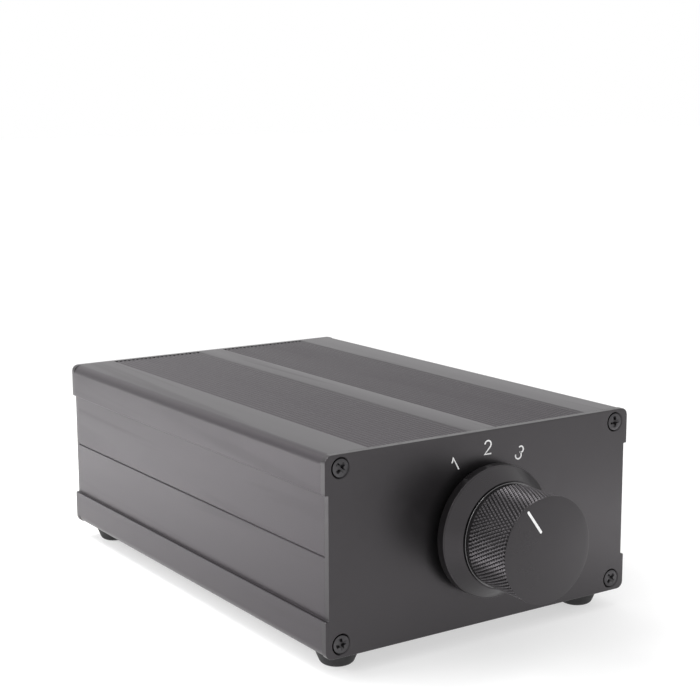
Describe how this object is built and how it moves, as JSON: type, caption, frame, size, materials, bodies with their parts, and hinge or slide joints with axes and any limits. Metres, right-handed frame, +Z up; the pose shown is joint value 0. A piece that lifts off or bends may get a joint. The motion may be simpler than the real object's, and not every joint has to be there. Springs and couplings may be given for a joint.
{
  "type": "audio source selector",
  "caption": "Compact audio source selector: ribbed two-shell aluminium case on rubber feet, knurled rotary knob in front, stacked phono sockets behind.",
  "frame": {"origin": "on the surface the feet stand on, at the centre of the whole outline, knob and sockets included", "axes": "+Z up, +Y from the front panel to the sockets, +X to the right when facing the front panel"},
  "size_m": [0.1, 0.184, 0.057],
  "materials": {
    "case_black": "satin black anodised",
    "panel_black": "fine satin black anodised",
    "knob_black": "turned and black anodised",
    "screw_black": "blackened",
    "rubber": "moulded",
    "steel": "zinc plated",
    "gold_plate": "gold plated",
    "brass": "machined",
    "board": "solder mask",
    "black_plastic": "moulded",
    "grey_plastic": "moulded",
    "brown_laminate": "pressed laminate",
    "nylon": "moulded",
    "white_plastic": "moulded",
    "red_plastic": "moulded",
    "index_white": "filled paint"
  },
  "bodies": {
    "case": {"upper_shell": "case_black", "lower_shell": "case_black", "front_panel": "panel_black", "rear_panel": "panel_black", "front_screws": "screw_black", "rear_screws": "screw_black", "foot_front_left": "rubber", "foot_front_right": "rubber", "foot_rear_left": "rubber", "foot_rear_right": "rubber", "foot_screws": "steel", "foot_washers": "steel", "main_board": "board", "jack_block_out": "black_plastic", "jack_block_in_1": "black_plastic", "jack_block_in_2": "black_plastic", "jack_block_in_3": "black_plastic", "jack_shells": "gold_plate", "jack_cores_white": "white_plastic", "jack_cores_red": "red_plastic", "jack_contacts": "gold_plate", "jack_pins": "steel", "jack_screws": "screw_black", "switch_board": "board", "link_header": "black_plastic", "link_pins": "gold_plate", "switch_bushing": "brass", "lock_washer": "steel", "bushing_nut": "steel", "switch_housing": "grey_plastic", "switch_rivets": "steel", "stator": "brown_laminate", "stator_terminals": "steel", "detent_spring": "steel"},
    "selector": {"shaft": "steel", "shaft_clip": "steel", "detent_wheel": "nylon", "rotor": "brown_laminate", "wipers": "gold_plate", "knob": "knob_black", "knob_index": "index_white", "grub_screw": "screw_black"}
  },
  "joints": [
    {"name": "selector_turn", "type": "hinge", "parent": "case", "child": "selector", "pos_m": [0, 0, 0.031], "axis": [0, 1, 0], "range_deg": [0, 60], "deforming": ["detent_spring"]}
  ]
}
